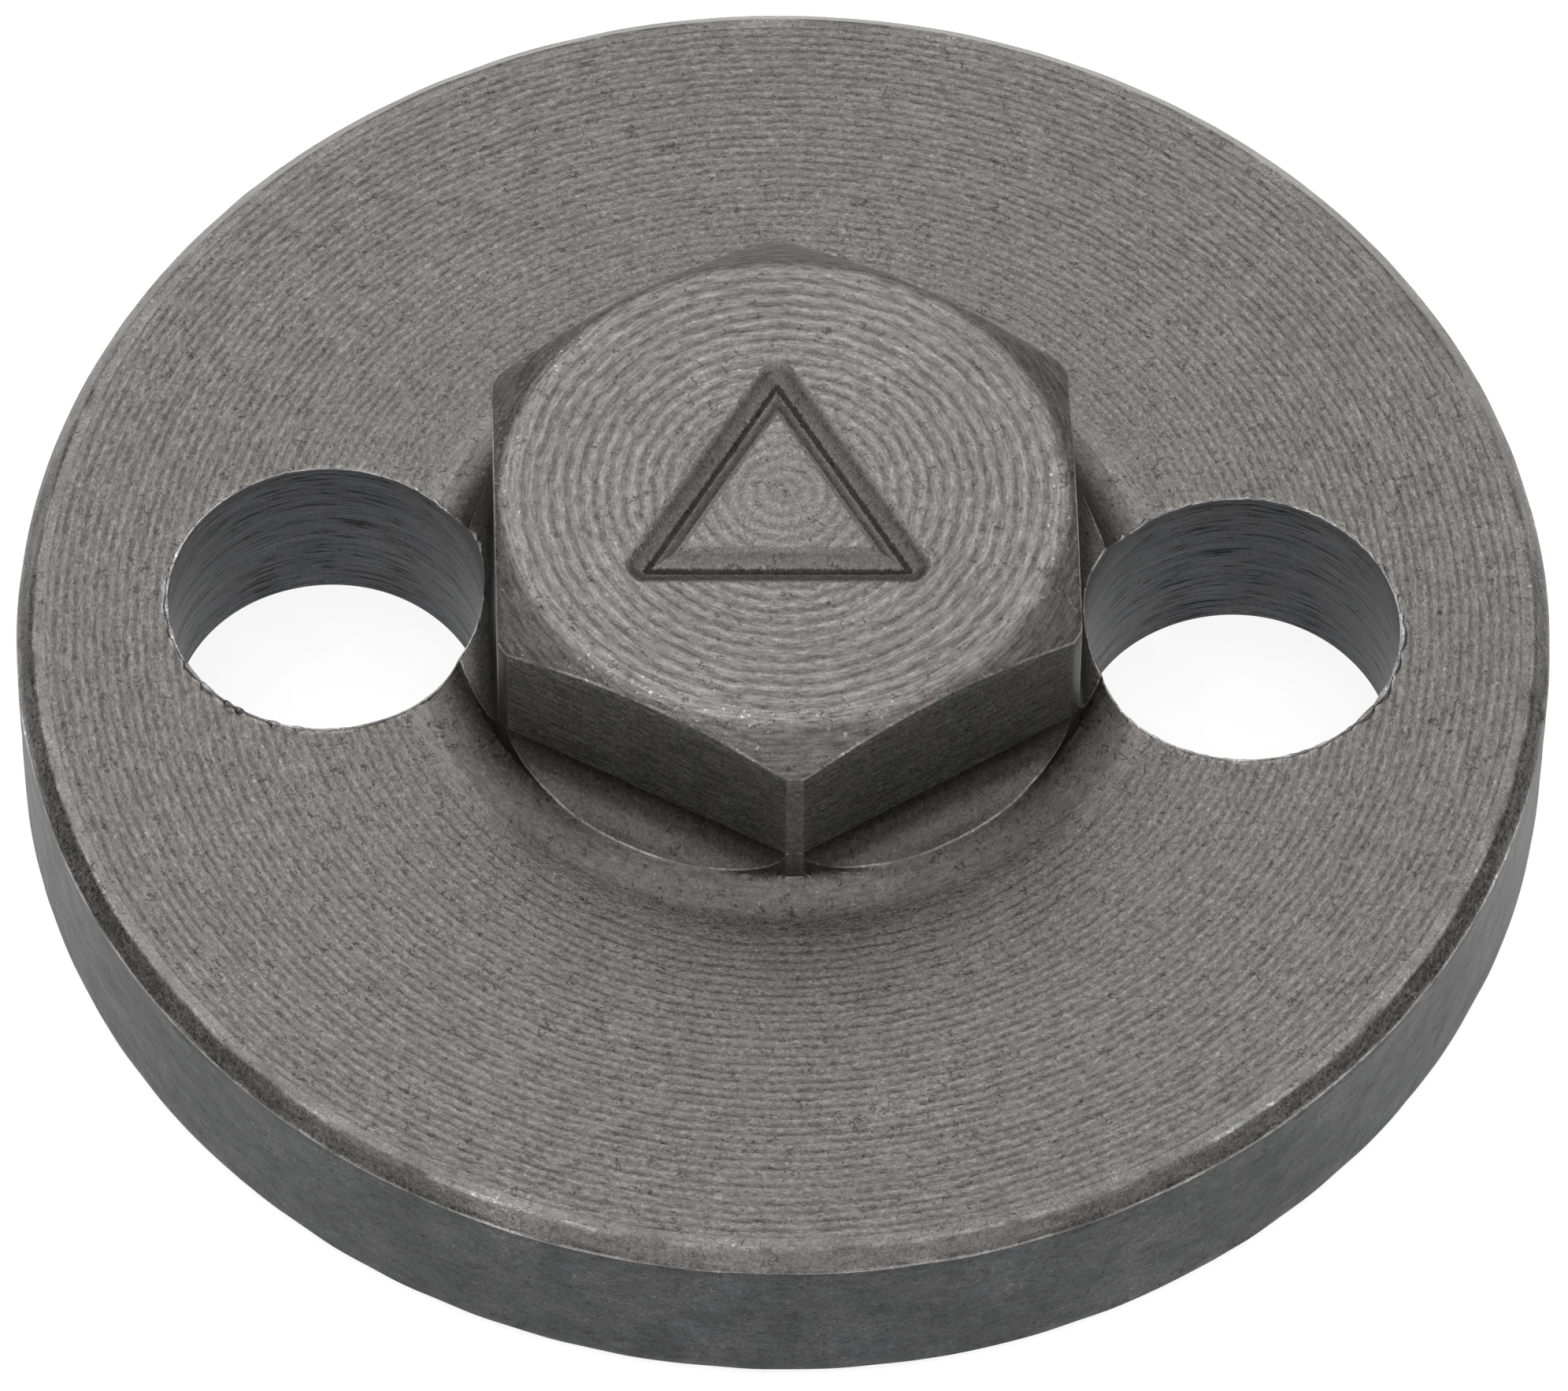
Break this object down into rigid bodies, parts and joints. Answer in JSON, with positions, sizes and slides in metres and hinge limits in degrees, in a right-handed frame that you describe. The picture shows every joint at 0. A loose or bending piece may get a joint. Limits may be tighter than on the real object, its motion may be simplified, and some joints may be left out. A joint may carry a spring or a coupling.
{
  "type": "flanged hexagon cap nut",
  "caption": "Closed-end hexagon nut in one piece with a wide round flange; through holes in the flange take driving pins or screws.",
  "frame": {"origin": "centre of the flange's flat underside", "axes": "+Z along the nut's axis, from the underside towards the hexagon; +X towards one of the two flange holes"},
  "size_m": [0.032, 0.032, 0.0086],
  "materials": {
    "machined_steel": "bare turned and milled steel with visible concentric tool marks, no plating"
  },
  "bodies": {
    "root": {"flanged_cap_nut": "machined_steel"}
  },
  "joints": []
}
